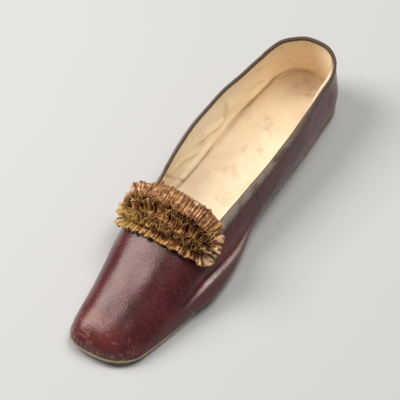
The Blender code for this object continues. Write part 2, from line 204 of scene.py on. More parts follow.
def unevenness(points, length, seed, count=9):
    """A smooth irregular field in space: a sum of plane waves about a length long, in seeded directions."""
    random = np.random.default_rng(seed)
    waves = unit(random.normal(size=(count, 3))) * 2 * np.pi / length * random.uniform(0.6, 1.6, (count, 1))
    return np.sin(points @ waves.T + random.uniform(0, 2 * np.pi, count)).sum(-1) / math.sqrt(count)


def curve(rows, column, station):
    """A column at stations of the table's along column: cubic pieces through the rows, whose slopes
    come from their neighbours, and straight lines past the ends."""
    stations, values = rows["along"], rows[column]
    slopes = np.gradient(values, stations)
    inside = np.clip(station, stations[0], stations[-1])
    k = np.clip(np.searchsorted(stations, inside, side="right") - 1, 0, len(stations) - 2)
    span = stations[k + 1] - stations[k]
    t = (inside - stations[k]) / span
    value = (2 * t**3 - 3 * t**2 + 1) * values[k] + (3 * t**2 - 2 * t**3) * values[k + 1]
    value = value + span * ((t**3 - 2 * t**2 + t) * slopes[k] + (t**3 - t**2) * slopes[k + 1])
    return value + (station - inside) * np.where(station < inside, slopes[0], slopes[-1])


def by_hand(rows, column, along, hand):
    """A column's inner version where hand is 1, and its outer version where hand is -1."""
    return np.where(hand > 0, curve(rows, column + "inner", along), curve(rows, column + "outer", along))


def arch(turn, power):
    """Shares across and upward on a rounded-square arch: cosine and sine to the power of 2 / power."""
    cosine = np.cos(turn)
    return np.sign(cosine) * np.abs(cosine) ** (2 / power), np.abs(np.sin(turn)) ** (2 / power)


def floor_line(along):
    """Height of the sole's underside: a squared sine at the waist and a parabola at the toe."""
    waist = np.clip((along - WAIST_START) / (WAIST_END - WAIST_START), 0, 1)
    spring = np.clip((along - SPRING_START) / (SOLE_LENGTH - SPRING_START), 0, None)
    return WAIST_RISE * np.sin(np.pi * waist) ** 2 + TOE_SPRING * spring**2


def side_edge(along, hand, inset):
    """Side offset of the sole's outline, taken in by an inset; hand is 1 on the inner side, else -1."""
    return hand * (by_hand(SIDES, "", along, hand) - inset)


# Place of the shoe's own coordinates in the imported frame
SHIFT_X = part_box("outsole")[1].x - curve(SIDES, "inner", np.linspace(0.15, 0.2, 200)).max()
HEEL_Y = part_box("outsole")[1].y


def place(side, along, height):
    """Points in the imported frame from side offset, station and height over the floor line."""
    return np.stack(np.broadcast_arrays(side + SHIFT_X, HEEL_Y - along, height + floor_line(along)), -1)


def shoe_coordinates(points):
    """Side offset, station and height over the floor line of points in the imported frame."""
    along = HEEL_Y - points[..., 1]
    return points[..., 0] - SHIFT_X, along, points[..., 2] - floor_line(along)


def across_sole(along, across, inset):
    """Side offset at a share across the sole, from 1 on its inner edge to -1 on its outer edge."""
    inner, outer = (side_edge(along, np.full_like(along, hand), inset) for hand in (1, -1))
    return (inner + outer) / 2 + (inner - outer) / 2 * across


SEAT_HALF = np.ptp(side_edge(np.full(2, THROAT_ALONG), np.array([1.0, -1.0]), SEAT_INSET)) / 2
THROAT_TURN = math.acos((THROAT_HALF_WIDTH / SEAT_HALF) ** (THROAT_POWER / 2))


def ridge_line(run):
    """Station and height on the vamp's middle line: the table up to the nose, then a cubic curve down
    to the toe seam."""
    nose_run = 1 - NOSE_SHARE
    along = lerp(THROAT_ALONG, NOSE_ALONG, np.minimum(run, nose_run) / nose_run)
    height = curve(RIDGE, "height", along)
    rows = np.stack([RIDGE["along"], RIDGE["height"]], -1)
    top, tip = rows[-1], np.array([SOLE_LENGTH - SEAT_INSET, SEAT_HEIGHT])
    control = (top, top + unit(top - rows[-2]) * NOSE_PULL, tip + [0, NOSE_PULL], tip)
    t = np.clip((run - nose_run) / NOSE_SHARE, 0, 1)
    weights = ((1 - t) ** 3, 3 * (1 - t) ** 2 * t, 3 * (1 - t) * t**2, t**3)
    nose = sum(weight[..., None] * point for weight, point in zip(weights, control))
    return np.where(run > nose_run, nose[..., 0], along), np.where(run > nose_run, nose[..., 1], height)


def swell(along, hand, share):
    """How far the wall stands out between seat and top: a cubic whose peak of 1 is a third of the way up,
    and below the top line the difference of two powers, so that the edge curls in."""
    share = np.minimum(share, 1)
    reach = by_hand(SIDES, "swell_", np.maximum(along, SIDES["along"][0]), hand)
    curl = COLLAR_CURL * np.sin(np.pi * np.minimum(along / THROAT_ALONG, 1)) ** 2
    return reach * SWELL_SCALE * share * (1 - share) ** 2 + curl * (share**2 - share**8)


def vamp(run, turn):
    """Outer face of the vamp: arches from seat to seat that lean forward to the middle line, each as wide
    as the sole is at that station, with the swell added sideways."""
    hand = np.where(turn < np.pi / 2, 1.0, -1.0)
    start = lerp(THROAT_ALONG, TOE_START, run)
    ridge_along, ridge_height = ridge_line(run)
    power = lerp(THROAT_POWER, np.where(hand > 0, TOE_POWER_INNER, TOE_POWER_OUTER), run)
    across, rise = arch(turn, power)
    along = lerp(start, ridge_along, rise)
    side = across_sole(along, across, SEAT_INSET)
    points = place(side, along - TOE_SLANT * run**2 * rise * side, lerp(SEAT_HEIGHT, ridge_height, rise))
    points[..., 0] += hand * swell(start, hand, rise / arch(THROAT_TURN, power)[1])
    return points


def round_heel(sweep, heel_centre, back, half_width):
    """Side offset, station and outward direction on a horseshoe line: straight stations along the sides,
    and a rounded-square arch round the heel. Sweep is 1 at the inner throat corner, 0 behind and -1 at the
    outer throat corner."""
    hand = np.where(sweep >= 0, 1.0, -1.0)
    share = np.abs(sweep)
    straight = share > HEEL_SHARE
    station = lerp(heel_centre, THROAT_ALONG, (share - HEEL_SHARE) / (1 - HEEL_SHARE))
    turn = np.minimum(share / HEEL_SHARE, 1) * np.pi / 2
    rise, across = arch(turn, HEEL_POWER)
    heel_side = half_width(np.full_like(station, heel_centre), hand) * across
    side = np.where(straight, half_width(station, hand), heel_side)
    along = np.where(straight, station, lerp(heel_centre, back, rise))
    outward = np.stack([hand * np.sin(turn), np.cos(turn), np.zeros_like(turn)], -1)
    return side, along, outward


CORNER_HEIGHTS = vamp(np.zeros(2), np.array([np.pi - THROAT_TURN, THROAT_TURN]))[:, 2]


def collar_line(sweep):
    """Top line of the quarters: a straight fall from heel to throat corner, less half a sine wave, with a
    slight waver, and behind a lean to the inner side that grows with the square of the way round the
    heel."""
    side, along, _ = round_heel(
        sweep,
        COLLAR_HEEL_CENTRE,
        COLLAR_BACK_ALONG,
        lambda at, hand: hand * by_hand(COLLAR_SIDES, "", at, hand),
    )
    share = (along - COLLAR_BACK_ALONG) / (THROAT_ALONG - COLLAR_BACK_ALONG)
    corner = np.where(sweep >= 0, CORNER_HEIGHTS[1], CORNER_HEIGHTS[0])
    height = lerp(COLLAR_BACK_HEIGHT, corner, share) - COLLAR_DIP * np.sin(np.pi * share)
    height = height + COLLAR_WAVER * ripple(sweep / 2, 61, 5, 15) * smooth(1 - np.abs(sweep), 0, 0.2)
    lean = COLLAR_LEAN * np.clip(1 - along / COLLAR_HEEL_CENTRE, 0, None) ** 2
    return np.stack([side + lean + SHIFT_X, HEEL_Y - along, height], -1)


def quarter(sweep, share):
    """Outer face of the quarters: from seat to top line on the vamp's own arch, with the swell added."""
    side, along, outward = round_heel(
        sweep, HEEL_CENTRE, SEAT_INSET, lambda at, hand: side_edge(at, hand, SEAT_INSET)
    )
    seat = place(side, along, SEAT_HEIGHT)
    across, rise = arch(THROAT_TURN * share, THROAT_POWER)
    top_across, top_rise = arch(THROAT_TURN, THROAT_POWER)
    inward, upward = (1 - across) / (1 - top_across), rise / top_rise
    lean = (collar_line(sweep) - seat) * np.stack([inward, inward, upward], -1)
    return seat + lean + outward * swell(along, np.where(sweep >= 0, 1, -1), upward)[..., None]


def number_grid(shape, start=0):
    """Vertex numbers of a grid of points, counted row by row."""
    return start + np.arange(math.prod(shape)).reshape(shape)


def grid_quads(numbers, closed=None):
    """Quads between neighbours in a grid of vertex numbers, which may close on one axis."""
    if closed is not None:
        numbers = np.concatenate([numbers, numbers.take([0], closed)], closed)
    corners = (numbers[:-1, :-1], numbers[:-1, 1:], numbers[1:, 1:], numbers[1:, :-1])
    return np.stack(corners, -1).reshape(-1, 4)


def diagonal_products(points, quads):
    """Cross products of the quads' diagonals: normals twice as long as the quads are large."""
    a, b, c, d = (points[quads[:, k]] for k in range(4))
    return np.cross(c - a, d - b)


def face_normals(points, quads):
    """A normal at each point: the sum of its quads' diagonal products, scaled to length one."""
    cross = diagonal_products(points, quads)
    total = np.zeros_like(points)
    for k in range(4):
        np.add.at(total, quads[:, k], cross)
    return unit(total)


def upper_sheet(wall_steps, throat_steps, run_steps, quarter_steps):
    """Points and quads of the upper's outer face: the vamp's grid of runs and turns, the quarters' grid of
    sweeps and shares, and one shared column of points at each throat corner. Rows lie closer a third of the
    way up. Also the numbers on the seat, and each point's rough distance from the edge of the opening."""
    steps = np.linspace(0, 1, wall_steps + 1)
    closer = ROW_CROWDING * (np.sin(2 * np.pi * (steps + ROW_SHIFT)) - math.sin(2 * np.pi * ROW_SHIFT))
    shares = np.clip(steps + closer, 0, 1) ** (THROAT_POWER / 2)
    wall = THROAT_TURN * shares[:-1]
    top = np.linspace(THROAT_TURN, np.pi - THROAT_TURN, throat_steps + 1)
    turns = np.concatenate([wall, top, np.pi - wall[::-1]])
    run, turn = np.meshgrid(np.linspace(0, 1, run_steps + 1), turns, indexing="ij")
    sweep, share = np.meshgrid(np.linspace(1, -1, 2 * quarter_steps + 1)[1:-1], shares, indexing="ij")
    points = np.concatenate([vamp(run, turn).reshape(-1, 3), quarter(sweep, share).reshape(-1, 3)])
    front, back = number_grid(run.shape), number_grid(sweep.shape, run.size)
    rows = np.concatenate([front[:1, : wall_steps + 1], back, front[:1, ::-1][:, : wall_steps + 1]])
    quads = np.concatenate([grid_quads(front), grid_quads(rows)[:, ::-1]])
    seat = np.unique(np.concatenate([rows[:, 0], front[:, 0], front[:, -1], front[-1]]))
    top_rise = arch(THROAT_TURN, THROAT_POWER)[1]
    below = np.clip(1 - arch(turn, THROAT_POWER)[1] / top_rise, 0, 1)
    fall = 1 - arch(THROAT_TURN * share, THROAT_POWER)[1] / top_rise
    edge = EDGE_REACH * np.concatenate([(2 * run + below).ravel(), fall.ravel()])
    return points, quads, seat, edge


def wall_behind(points, quads, near, far, level):
    """A closed wall: the sheet moved back along its normals by near and by far, and quads that join the two
    at every open edge. Points numbered in level move back without changing height."""
    normals = face_normals(points, quads)
    normals[level, 2] = 0
    normals = unit(normals)
    count = len(points)
    edges = np.concatenate([quads[:, [k, (k + 1) % 4]] for k in range(4)])
    key, back_key = edges[:, 0] * count + edges[:, 1], edges[:, 1] * count + edges[:, 0]
    a, b = edges[~np.isin(key, back_key)].T
    rims = np.stack([b, a, a + count, b + count], -1)
    both = np.concatenate([points - normals * near, points - normals * far])
    return both, np.concatenate([quads, quads[:, ::-1] + count, rims])


def outline(inset, heel_steps=40, side_steps=150, toe_steps=60):
    """The sole's outline taken in by an inset, as (side, along) once round: heel back, inner side, toe tip
    and outer side. Arches close the heel and the toe, and stations follow the table between them."""
    heel_turn = np.pi / 2 * np.linspace(0, 1, heel_steps + 1)[:-1]
    toe_turn = np.pi / 2 * np.linspace(0, 1, toe_steps + 1) ** TOE_CROWDING
    station = np.linspace(HEEL_CENTRE, TOE_START, side_steps + 1)[:-1]
    halves = []
    for hand, toe_power in ((1.0, TOE_POWER_INNER), (-1.0, TOE_POWER_OUTER)):
        rise, across = arch(heel_turn, HEEL_POWER)
        heel_side = side_edge(np.array(HEEL_CENTRE), np.array(hand), inset) * across
        heel = np.stack([heel_side, lerp(HEEL_CENTRE, inset, rise)], -1)
        side = np.stack([side_edge(station, np.full_like(station, hand), inset), station], -1)
        across, rise = arch(toe_turn, toe_power)
        along = lerp(TOE_START, SOLE_LENGTH - inset, rise)
        toe_side = across_sole(along, hand * across, inset)
        toe = np.stack([toe_side, along - TOE_SLANT * rise * toe_side], -1)
        halves.append(np.concatenate([heel, side, toe]))
    return np.concatenate([halves[0], halves[1][-2:0:-1]])


def sock_rise(along):
    """How steeply the sock is turned up at the wall: most at the heel, little at the toe."""
    return lerp(SOCK_RISE_HEEL, SOCK_RISE_TOE, smooth(along, 30 * MM, 120 * MM))


def sock_ring(inset, height):
    """The outline at a height inside the upper: taken in by an inset, then moved out with the wall's swell.
    What lies over the sock's flat part is lifted by the sock's rise."""
    ring = outline(inset)
    height = np.minimum(height, SOCK_TOP) + sock_rise(ring[:, 1]) * max(height - SOCK_TOP, 0)
    step = np.roll(ring, -1, 0) - np.roll(ring, 1, 0)
    outward = unit(np.stack([step[:, 1], -step[:, 0]], -1))
    reach = swell(ring[:, 1], np.where(ring[:, 0] > 0, 1, -1), (height - SEAT_HEIGHT) / COLLAR_BACK_HEIGHT)
    return np.column_stack([ring + outward * np.maximum(reach, 0)[:, None], height])


def flat_ring(inset, height):
    """The sole's outline taken in by an inset, at a height."""
    ring = outline(inset)
    return np.column_stack([ring, np.full(len(ring), height)])


def layer(profile, follow=flat_ring, columns=24):
    """A closed layer in the sole's outline: a profile of (inset, height) carried round the outline from its
    underside to its top, and two caps of straight rows from the inner to the outer side."""
    rings = [place(*follow(inset, height).T) for inset, height in profile]
    around = len(rings[0])
    half = around // 2
    numbers = number_grid((len(rings), around))
    faces = grid_quads(numbers, closed=1)[:, ::-1].tolist()
    points = list(rings)
    count = numbers.size
    share = np.linspace(0, 1, columns + 1)[1:-1]
    for ring, line, flip in ((rings[0], numbers[0], -1), (rings[-1], numbers[-1], 1)):
        inner, outer = np.arange(1, half), around - np.arange(1, half)
        middle = lerp(ring[inner][:, None], ring[outer][:, None], share[None, :, None])
        inside = number_grid(middle.shape[:2], count)
        count += inside.size
        points.append(middle.reshape(-1, 3))
        rows = np.concatenate([line[inner][:, None], inside, line[outer][:, None]], 1)
        faces += grid_quads(rows)[:, ::flip].tolist()
        for tip, row, turn in ((line[0], rows[0], flip), (line[half], rows[-1], -flip)):
            fan = np.stack([np.full(columns, tip), row[:-1], row[1:]], -1)
            faces += fan[:, ::-turn].tolist()
    return np.concatenate(points), faces


def ring_numbers(points, values):
    """Numbers at a layer's points: one value for each ring of its profile, and 0 on its caps."""
    numbers = np.zeros(len(points))
    around = len(outline(0.0))
    numbers[: around * len(values)] = np.repeat(values, around)
    return numbers


COLLAR_SWEEP = np.linspace(-1, 1, 421)[1:-1]
THROAT_TURNS = np.linspace(THROAT_TURN, np.pi - THROAT_TURN, 91)


def collar_face(distance):
    """Points of the upper's outer face at a distance from the edge of the opening, once round it from the
    outer corner, and the outward normals there: cross products of small steps along and down the face."""
    sweep, turn = COLLAR_SWEEP, THROAT_TURNS
    distance = np.broadcast_to(distance, len(sweep) + len(turn))
    below, ahead_of = distance[: len(sweep)], distance[len(sweep) :]
    top = quarter(sweep, np.ones_like(sweep))
    speed = np.linalg.norm(top - quarter(sweep, np.full_like(sweep, 1 - PROBE)), axis=-1)
    share = 1 - below / (speed / PROBE)
    side = quarter(sweep, share)
    down = quarter(sweep, share - PROBE) - side
    ahead = np.minimum(sweep + PROBE, 1)
    round_ = quarter(ahead, share) - quarter(ahead - 2 * PROBE, share)
    start = vamp(np.zeros_like(turn), turn)
    run_speed = np.linalg.norm(vamp(np.full_like(turn, PROBE), turn) - start, axis=-1) / PROBE
    turn_speed = np.linalg.norm(vamp(np.zeros_like(turn), turn + PROBE) - start, axis=-1) / PROBE
    lower = np.zeros_like(turn)
    lower[[0, -1]] = -1, 1
    run, at = ahead_of / run_speed, turn + lower * ahead_of / turn_speed
    front = vamp(run, at)
    forward = vamp(run + PROBE, at) - front
    across = vamp(run, at + PROBE) - vamp(run, at - PROBE)
    normals = np.concatenate([np.cross(round_, down), np.cross(across, forward)])
    return np.concatenate([side, front]), unit(normals)


def ruche_ground(across, down):
    """Points and outward normals of the vamp under the ruche: across from 1 inner to -1 outer, and down
    from its throat edge at 0 to its toe edge at 1, drawn in a little at both ends by a rounded square."""
    end_turn = np.where(across > 0, RUCHE_TURN_INNER, RUCHE_TURN_OUTER)
    turn = np.pi / 2 - across * (np.pi / 2 - end_turn)
    reach = (1 - np.abs(across) ** RUCHE_END_POWER) ** (1 / RUCHE_END_POWER)
    back = lerp(RUCHE_RUN_BACK_OUTER, RUCHE_RUN_BACK_INNER, 0.5 + across / 2)
    front = lerp(RUCHE_RUN_FRONT_OUTER, RUCHE_RUN_FRONT_INNER, 0.5 + across / 2)
    run = lerp(back, front, 0.5 + (down - 0.5) * reach)
    point = vamp(run, turn)
    forward, sideways = vamp(run + PROBE, turn) - point, vamp(run, turn + PROBE) - point
    return point, unit(np.cross(sideways, forward))


class Signal:
    """A value that changes over a surface. Arithmetic on it adds Math nodes to its finish."""

    def __init__(self, finish, socket):
        self.finish = finish
        self.socket = socket

    def math(self, operation, *others):
        """A Math node on this value and the others."""
        inputs = dict(enumerate((self, *others)))
        return self.finish.node("ShaderNodeMath", {"operation": operation}, inputs)

    def __add__(self, other):
        return self.math("ADD", other)

    def __sub__(self, other):
        return self.math("SUBTRACT", other)

    def __rsub__(self, other):
        return self.finish.node("ShaderNodeMath", {"operation": "SUBTRACT"}, {0: other, 1: self})

    def __mul__(self, other):
        return self.math("MULTIPLY", other)

    def __abs__(self):
        return self.math("ABSOLUTE")

    __radd__ = __add__
    __rmul__ = __mul__

    def wave(self, length):
        """A sine wave of this length, between 0 and 1."""
        return (self * (2 * math.pi / length)).math("SINE") * 0.5 + 0.5

    def step(self, low, high):
        """0 at low, 1 at high, with a smooth step between."""
        ends = {"Value": self, "From Min": low, "From Max": high}
        return self.finish.node("ShaderNodeMapRange", {"interpolation_type": "SMOOTHSTEP"}, ends)

    def line(self, centre, width):
        """1 at the centre, falling smoothly to 0 a width away."""
        return abs(self - centre).step(width, 0)


class Finish:
    """A material under construction, on object coordinates. Its sizes and depths are in millimetres."""

    def __init__(self, name, colour, **constants):
        self.material = bpy.data.materials.new(name)
        self.material.use_nodes = True
        self.tree = self.material.node_tree
        self.shader = self.tree.nodes["Principled BSDF"]
        for socket, value in constants.items():
            self.shader.inputs[socket.replace("_", " ")].default_value = value
        self.point = self.node("ShaderNodeTexCoord", output="Object")
        self.colour = colour
        self.relief = None

    def put(self, socket, value):
        """Links a signal to a socket, or sets the socket's own value."""
        if isinstance(value, Signal):
            self.tree.links.new(value.socket, socket)
        elif socket.type == "RGBA":
            socket.default_value = (*tuple(value)[:3], 1)
        else:
            socket.default_value = value

    def node(self, kind, settings=None, inputs=None, output=0):
        """A node of this kind with its settings, then the values or links of its inputs."""
        node = self.tree.nodes.new(kind)
        for name, value in (settings or {}).items():
            setattr(node, name, value)
        for name, value in (inputs or {}).items():
            self.put(node.inputs[name], value)
        return Signal(self, node.outputs[output])

    def axis(self, name):
        """One object coordinate."""
        return self.node("ShaderNodeSeparateXYZ", None, {"Vector": self.point}, name) * (1 / MM)

    def along(self):
        """Station from the back of the heel."""
        return HEEL_Y / MM - self.axis("Y")

    def scaled(self, scale):
        """Object coordinates, scaled along each axis where a scale is given."""
        if scale is None:
            return self.point
        return self.node("ShaderNodeMapping", None, {"Vector": self.point, "Scale": scale})

    def noise(self, size, detail, roughness, scale=None):
        """Soft noise with features of about this size."""
        inputs = {"Scale": 1 / (size * MM), "Detail": detail, "Roughness": roughness}
        return self.node("ShaderNodeTexNoise", None, {"Vector": self.scaled(scale), **inputs})

    def cells(self, size, scale=None):
        """Rounded cells of about this size: 0 in their middles."""
        inputs = {"Vector": self.scaled(scale), "Scale": 1 / (size * MM)}
        return self.node("ShaderNodeTexVoronoi", {"feature": "SMOOTH_F1"}, inputs, "Distance")

    def attribute(self, name):
        """A number stored at the piece's points."""
        return self.node("ShaderNodeAttribute", {"attribute_name": name}, None, "Fac")

    def tint(self, share, colour):
        """Covers a share of the colour so far with another one."""
        inputs = {0: share, 6: self.colour, 7: colour}
        self.colour = self.node("ShaderNodeMix", {"data_type": "RGBA"}, inputs, 2)

    def bump(self, height, depth):
        """Adds relief of this depth, where the height goes from 0 to 1."""
        inputs = {"Height": height, "Distance": depth * MM, "Strength": 1.0}
        if self.relief:
            inputs["Normal"] = self.relief
        self.relief = self.node("ShaderNodeBump", None, inputs, "Normal")

    def finish(self, roughness):
        """Connects colour, roughness and relief, and gives the material."""
        self.put(self.shader.inputs["Base Color"], self.colour)
        self.put(self.shader.inputs["Roughness"], roughness)
        if self.relief:
            self.put(self.shader.inputs["Normal"], self.relief)
        return self.material


def kid_leather(colours):
    """Burgundy kid: deep patches, fine grain, crosswise wrinkles, a painted shade band beside the
    highlight, seams, scuffs, and a crease rub that is partly painted highlight.
    """
    gloss = {"Specular_IOR_Level": 0.38, "Specular_Tint": (1, 0.84, 0.78, 1)}
    kid = Finish("burgundy_kid", colours.leather_deep_and_shade, Coat_Weight=0.15, Coat_Roughness=0.3, **gloss)
    along, height = kid.along(), kid.axis("Z")
    patches = kid.noise(22, 4, 0.6)
    mottle = kid.noise(4, 3, 0.6)
    crosswise = kid.noise(1.6, 3, 0.65, (0.28, 1, 0.28))
    grain = kid.cells(0.85, (0.7, 1, 0.9))
    scratches = kid.noise(3, 3, 0.7, (0.5, 1.3, 0.5)).step(0.54, 0.67)
    toe = along.step(212, 236)
    seat = height.step(11, 4) * along.step(40, 150)
    scuffed = scratches * toe.math("MAXIMUM", seat * 0.5) * 0.8
    # Painted shade: a dark band along the vamp beside its highlight, in the deep leather colour.
    painted_shade_band = kid.axis("X").line(11, 15) * along.step(145, 170) * along.step(236, 214)
    # Pale line on the crease ledge: partly rubbed wear, partly a painted highlight.
    worn = kid.attribute("ledge") * (0.65 + 0.35 * scratches) * mottle.step(0.2, 0.48)
    side_seam = (along + height * 0.08).line(SIDE_SEAM / MM, 0.55)
    back_seam = kid.axis("X").line(SHIFT_X / MM, 0.5) * along.step(14, 8)
    seams = side_seam.math("MAXIMUM", back_seam)
    kid.tint(0.4 + 0.6 * patches.step(0.36, 0.66), colours.leather)
    kid.tint(crosswise.step(0.52, 0.68) * 0.45, colours.leather_deep_and_shade)
    kid.tint(mottle.step(0.45, 0.75) * 0.45, colours.leather_red)
    kid.tint(grain.step(0.25, 0.62) * 0.4, colours.leather_deep_and_shade)
    kid.tint(toe * patches.step(0.3, 0.6) * 0.5, colours.leather_red)
    kid.tint(painted_shade_band * (0.4 + 0.4 * patches), colours.leather_deep_and_shade)
    kid.tint(scuffed, colours.leather_scuff)
    kid.tint(worn, colours.leather_rub_and_highlight)
    kid.tint(seams * 0.7, colours.leather_deep_and_shade)
    kid.bump(1 - grain, 0.07)
    kid.bump(crosswise, 0.10)
    kid.bump(patches + mottle * 0.15, 0.16)
    kid.bump(1 - seams, 0.6)
    return kid.finish(0.21 + 0.12 * mottle + 0.2 * scuffed)


def lining_kid(colours, trodden=0.0):
    """Cream lining: tan towards the heel, and all over by the share that is trodden, with soft stains,
    faint creases, painted shade along its folds and a dark seam line, and a fine suede surface."""
    suede = {"Specular_IOR_Level": 0.25, "Sheen_Weight": 0.15, "Sheen_Roughness": 0.5}
    kid = Finish("cream_lining", colours.lining, **suede)
    clouds = kid.noise(30, 4, 0.6)
    stains = kid.noise(11, 4, 0.65).step(0.56, 0.72)
    creases = kid.noise(6, 3, 0.6, (0.5, 0.32, 1.0))
    fibre = kid.noise(0.7, 2, 0.6)
    heel = (kid.along() + clouds * 40).step(100, 18)
    folds = kid.attribute("fold_line") * clouds.step(0.25, 0.55)
    kid.tint(trodden + heel * (0.85 - trodden), colours.lining_heel)
    kid.tint(trodden * (0.30 + 0.28 * clouds.step(0.36, 0.64)), colours.lining_stain_and_shade)
    kid.tint(stains * (0.18 + 0.2 * heel + 0.25 * trodden), colours.lining_stain_and_shade)
    kid.tint(creases.step(0.6, 0.72) * 0.3, colours.lining_stain_and_shade)
    # Painted shade along the lining's folds and the sock's rim, and its seam line.
    kid.tint(folds * 0.75, colours.lining_stain_and_shade)
    kid.bump(fibre, 0.07)
    kid.bump(creases, 0.5 + 0.5 * trodden)
    kid.bump(clouds, 1.2)
    return kid.finish(0.72 + 0.16 * fibre)


def binding_silk(colours):
    """Ribbed ribbon: fine ribs across its width, pale outside, partly worn and partly a painted highlight,
    and dark inside as painted shade.
    """
    sheen = {"Specular_IOR_Level": 0.4, "Sheen_Weight": 0.06, "Sheen_Roughness": 0.4}
    silk = Finish("binding_silk", colours.binding, **sheen)
    ribs = silk.attribute("along_edge").wave(0.55 * MM)
    width = silk.attribute("across_edge")
    wear = silk.noise(7, 4, 0.65)
    # Pale on the outer face: partly wear, partly a painted highlight where the binding turns over.
    worn = width.line(0.34, 0.34) * wear.step(0.28, 0.55) * (0.15 + 0.85 * silk.along().step(30, 110))
    silk.tint(worn, colours.binding_pale_and_highlight)
    # Painted shade: dark on the inner face of the binding.
    silk.tint(width.step(0.62, 0.72) * 0.8, colours.binding_deep_and_shade)
    silk.tint((1 - ribs) * 0.35, colours.binding_deep_and_shade)
    silk.tint(wear.step(0.58, 0.75) * 0.5, colours.binding_deep_and_shade)
    silk.tint(silk.attribute("hem").step(0.1, 0.9) * (1 - 0.4 * wear), colours.lining_heel)
    silk.bump(ribs, 0.09)
    silk.bump(wear, 0.4)
    return silk.finish(0.5 + 0.2 * wear)


def ribbon_silk(colours):
    """Shot silk: brown, with painted shade deep in the folds, olive gold where gilt, pale on some crests as
    a painted highlight, with fine weft.
    """
    gloss = {"Specular_IOR_Level": 0.45, "Specular_Tint": (1, 0.82, 0.55, 1)}
    silk = Finish("ruche_silk", colours.ribbon_deep_and_shade, **gloss)
    weft = silk.attribute("ribbon_run").wave(0.5 * MM)
    crest = silk.attribute("fold_crest")
    clouds = silk.noise(4.5, 3, 0.6)
    flecks = silk.noise(2.6, 3, 0.6)
    selvedge = abs(silk.attribute("ribbon_width") - 0.5).step(0.38, 0.49)
    gold = (silk.attribute("gilt") + (clouds - 0.5) * 1.6 + selvedge * 0.25).step(0.35, 0.85)
    # Painted highlight on some crests of the folds.
    pale = crest.step(0.5, 1.0) * (flecks + 0.2 * silk.attribute("ribbon_end")).step(0.52, 0.72)
    silk.tint(flecks.step(0.35, 0.65), colours.ribbon)
    silk.tint(gold * 0.85, colours.ribbon_gold)
    silk.tint(pale * 0.7, colours.ribbon_crest_highlight)
    # Painted shade: the valleys between the folds darkened.
    silk.tint((1 - crest).step(0.45, 1.0) * 0.8, colours.ribbon_deep_and_shade)
    silk.bump(weft, 0.06)
    silk.bump(clouds, 0.3)
    return silk.finish(0.36 + 0.22 * clouds)


def sole_leather(colours):
    """Tanned sole: a pale pared edge, and an underside scratched and darkened under heel and ball."""
    hide = Finish("sole_leather", colours.sole_deep, Specular_IOR_Level=0.4)
    along, rim = hide.along(), hide.attribute("rim")
    fibres = hide.noise(1.4, 4, 0.7, (1, 0.25, 1))
    scratches = hide.noise(3.5, 4, 0.75, (1, 0.14, 1)).step(0.57, 0.66)
    clouds = hide.noise(28, 4, 0.6)
    worn = along.line(175, 55).math("MAXIMUM", along.line(28, 42)) * clouds.step(0.34, 0.6)
    hide.tint(clouds.step(0.35, 0.65), colours.sole)
    hide.tint(worn * 0.6, colours.sole_deep)
    hide.tint(scratches * 0.4, colours.sole_edge)
    hide.tint(rim * (0.75 + 0.25 * clouds), colours.sole_edge)
    hide.tint(rim * fibres.step(0.5, 0.7) * 0.55, colours.sole_deep)
    hide.bump(fibres, 0.15)
    hide.bump(1 - scratches, 0.18)
    hide.bump(clouds, 0.8)
    return hide.finish(0.55 + 0.25 * fibres)


def sewing_thread(name, colour, deep):
    """Twisted thread."""
    thread = Finish(name, deep, Specular_IOR_Level=0.3)
    twist = thread.noise(0.6, 2, 0.5)
    thread.tint(twist.step(0.4, 0.65), colour)
    thread.bump(twist, 0.06)
    return thread.finish(0.7 + 0.1 * twist)


def floor_paper(colours):
    """Plain pale paper."""
    paper = Finish("floor_paper", [channel * 0.96 for channel in colours.floor], Specular_IOR_Level=0.2)
    tone = paper.noise(400, 3, 0.5)
    paper.tint(tone, colours.floor)
    return paper.finish(0.85 + 0.05 * tone)


def new_object(name, points, faces, material):
    """A mesh object at the origin."""
    mesh = bpy.data.meshes.new(name)
    faces = faces.tolist() if isinstance(faces, np.ndarray) else faces
    mesh.from_pydata(points.reshape(-1, 3).tolist(), [], faces)
    mesh.materials.append(material)
    thing = bpy.data.objects.new(name, mesh)
    bpy.context.scene.collection.objects.link(thing)
    return thing


def add_piece(name, points, faces, material, nodes=(), numbers=None):
    """A piece on the one body, with named numbers at its points, and the nodes that it stands for."""
    piece = new_object(name, points, faces, material)
    for label, values in (numbers or {}).items():
        values = np.broadcast_to(values, points.shape[:-1])
        store = piece.data.attributes.new(label, "FLOAT", "POINT")
        store.data.foreach_set("value", np.ascontiguousarray(values, np.float32).ravel())
    piece.data.shade_smooth()
    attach(piece, "root")
    if nodes:
        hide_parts(*nodes)
    return piece


def add_thickness(piece, thickness):
    """Gives a thin sheet its thickness, half to each side."""
    wall = piece.modifiers.new("thickness", "SOLIDIFY")
    wall.thickness = thickness
    wall.offset = 0


def ball_crease(points):
    """Depth of the ball's crease as a share of its deepest, its bulge, and the height over its ledge."""
    side, along, height = shoe_coordinates(points)
    station = np.clip(along, BALL_CREASE["along"][0], BALL_CREASE["along"][-1])
    bulge = curve(BALL_CREASE, "bulge", station) * smooth(side, 5 * MM, 20 * MM)
    return bulge / BALL_CREASE["bulge"].max(), bulge, height - curve(BALL_CREASE, "ledge", station)


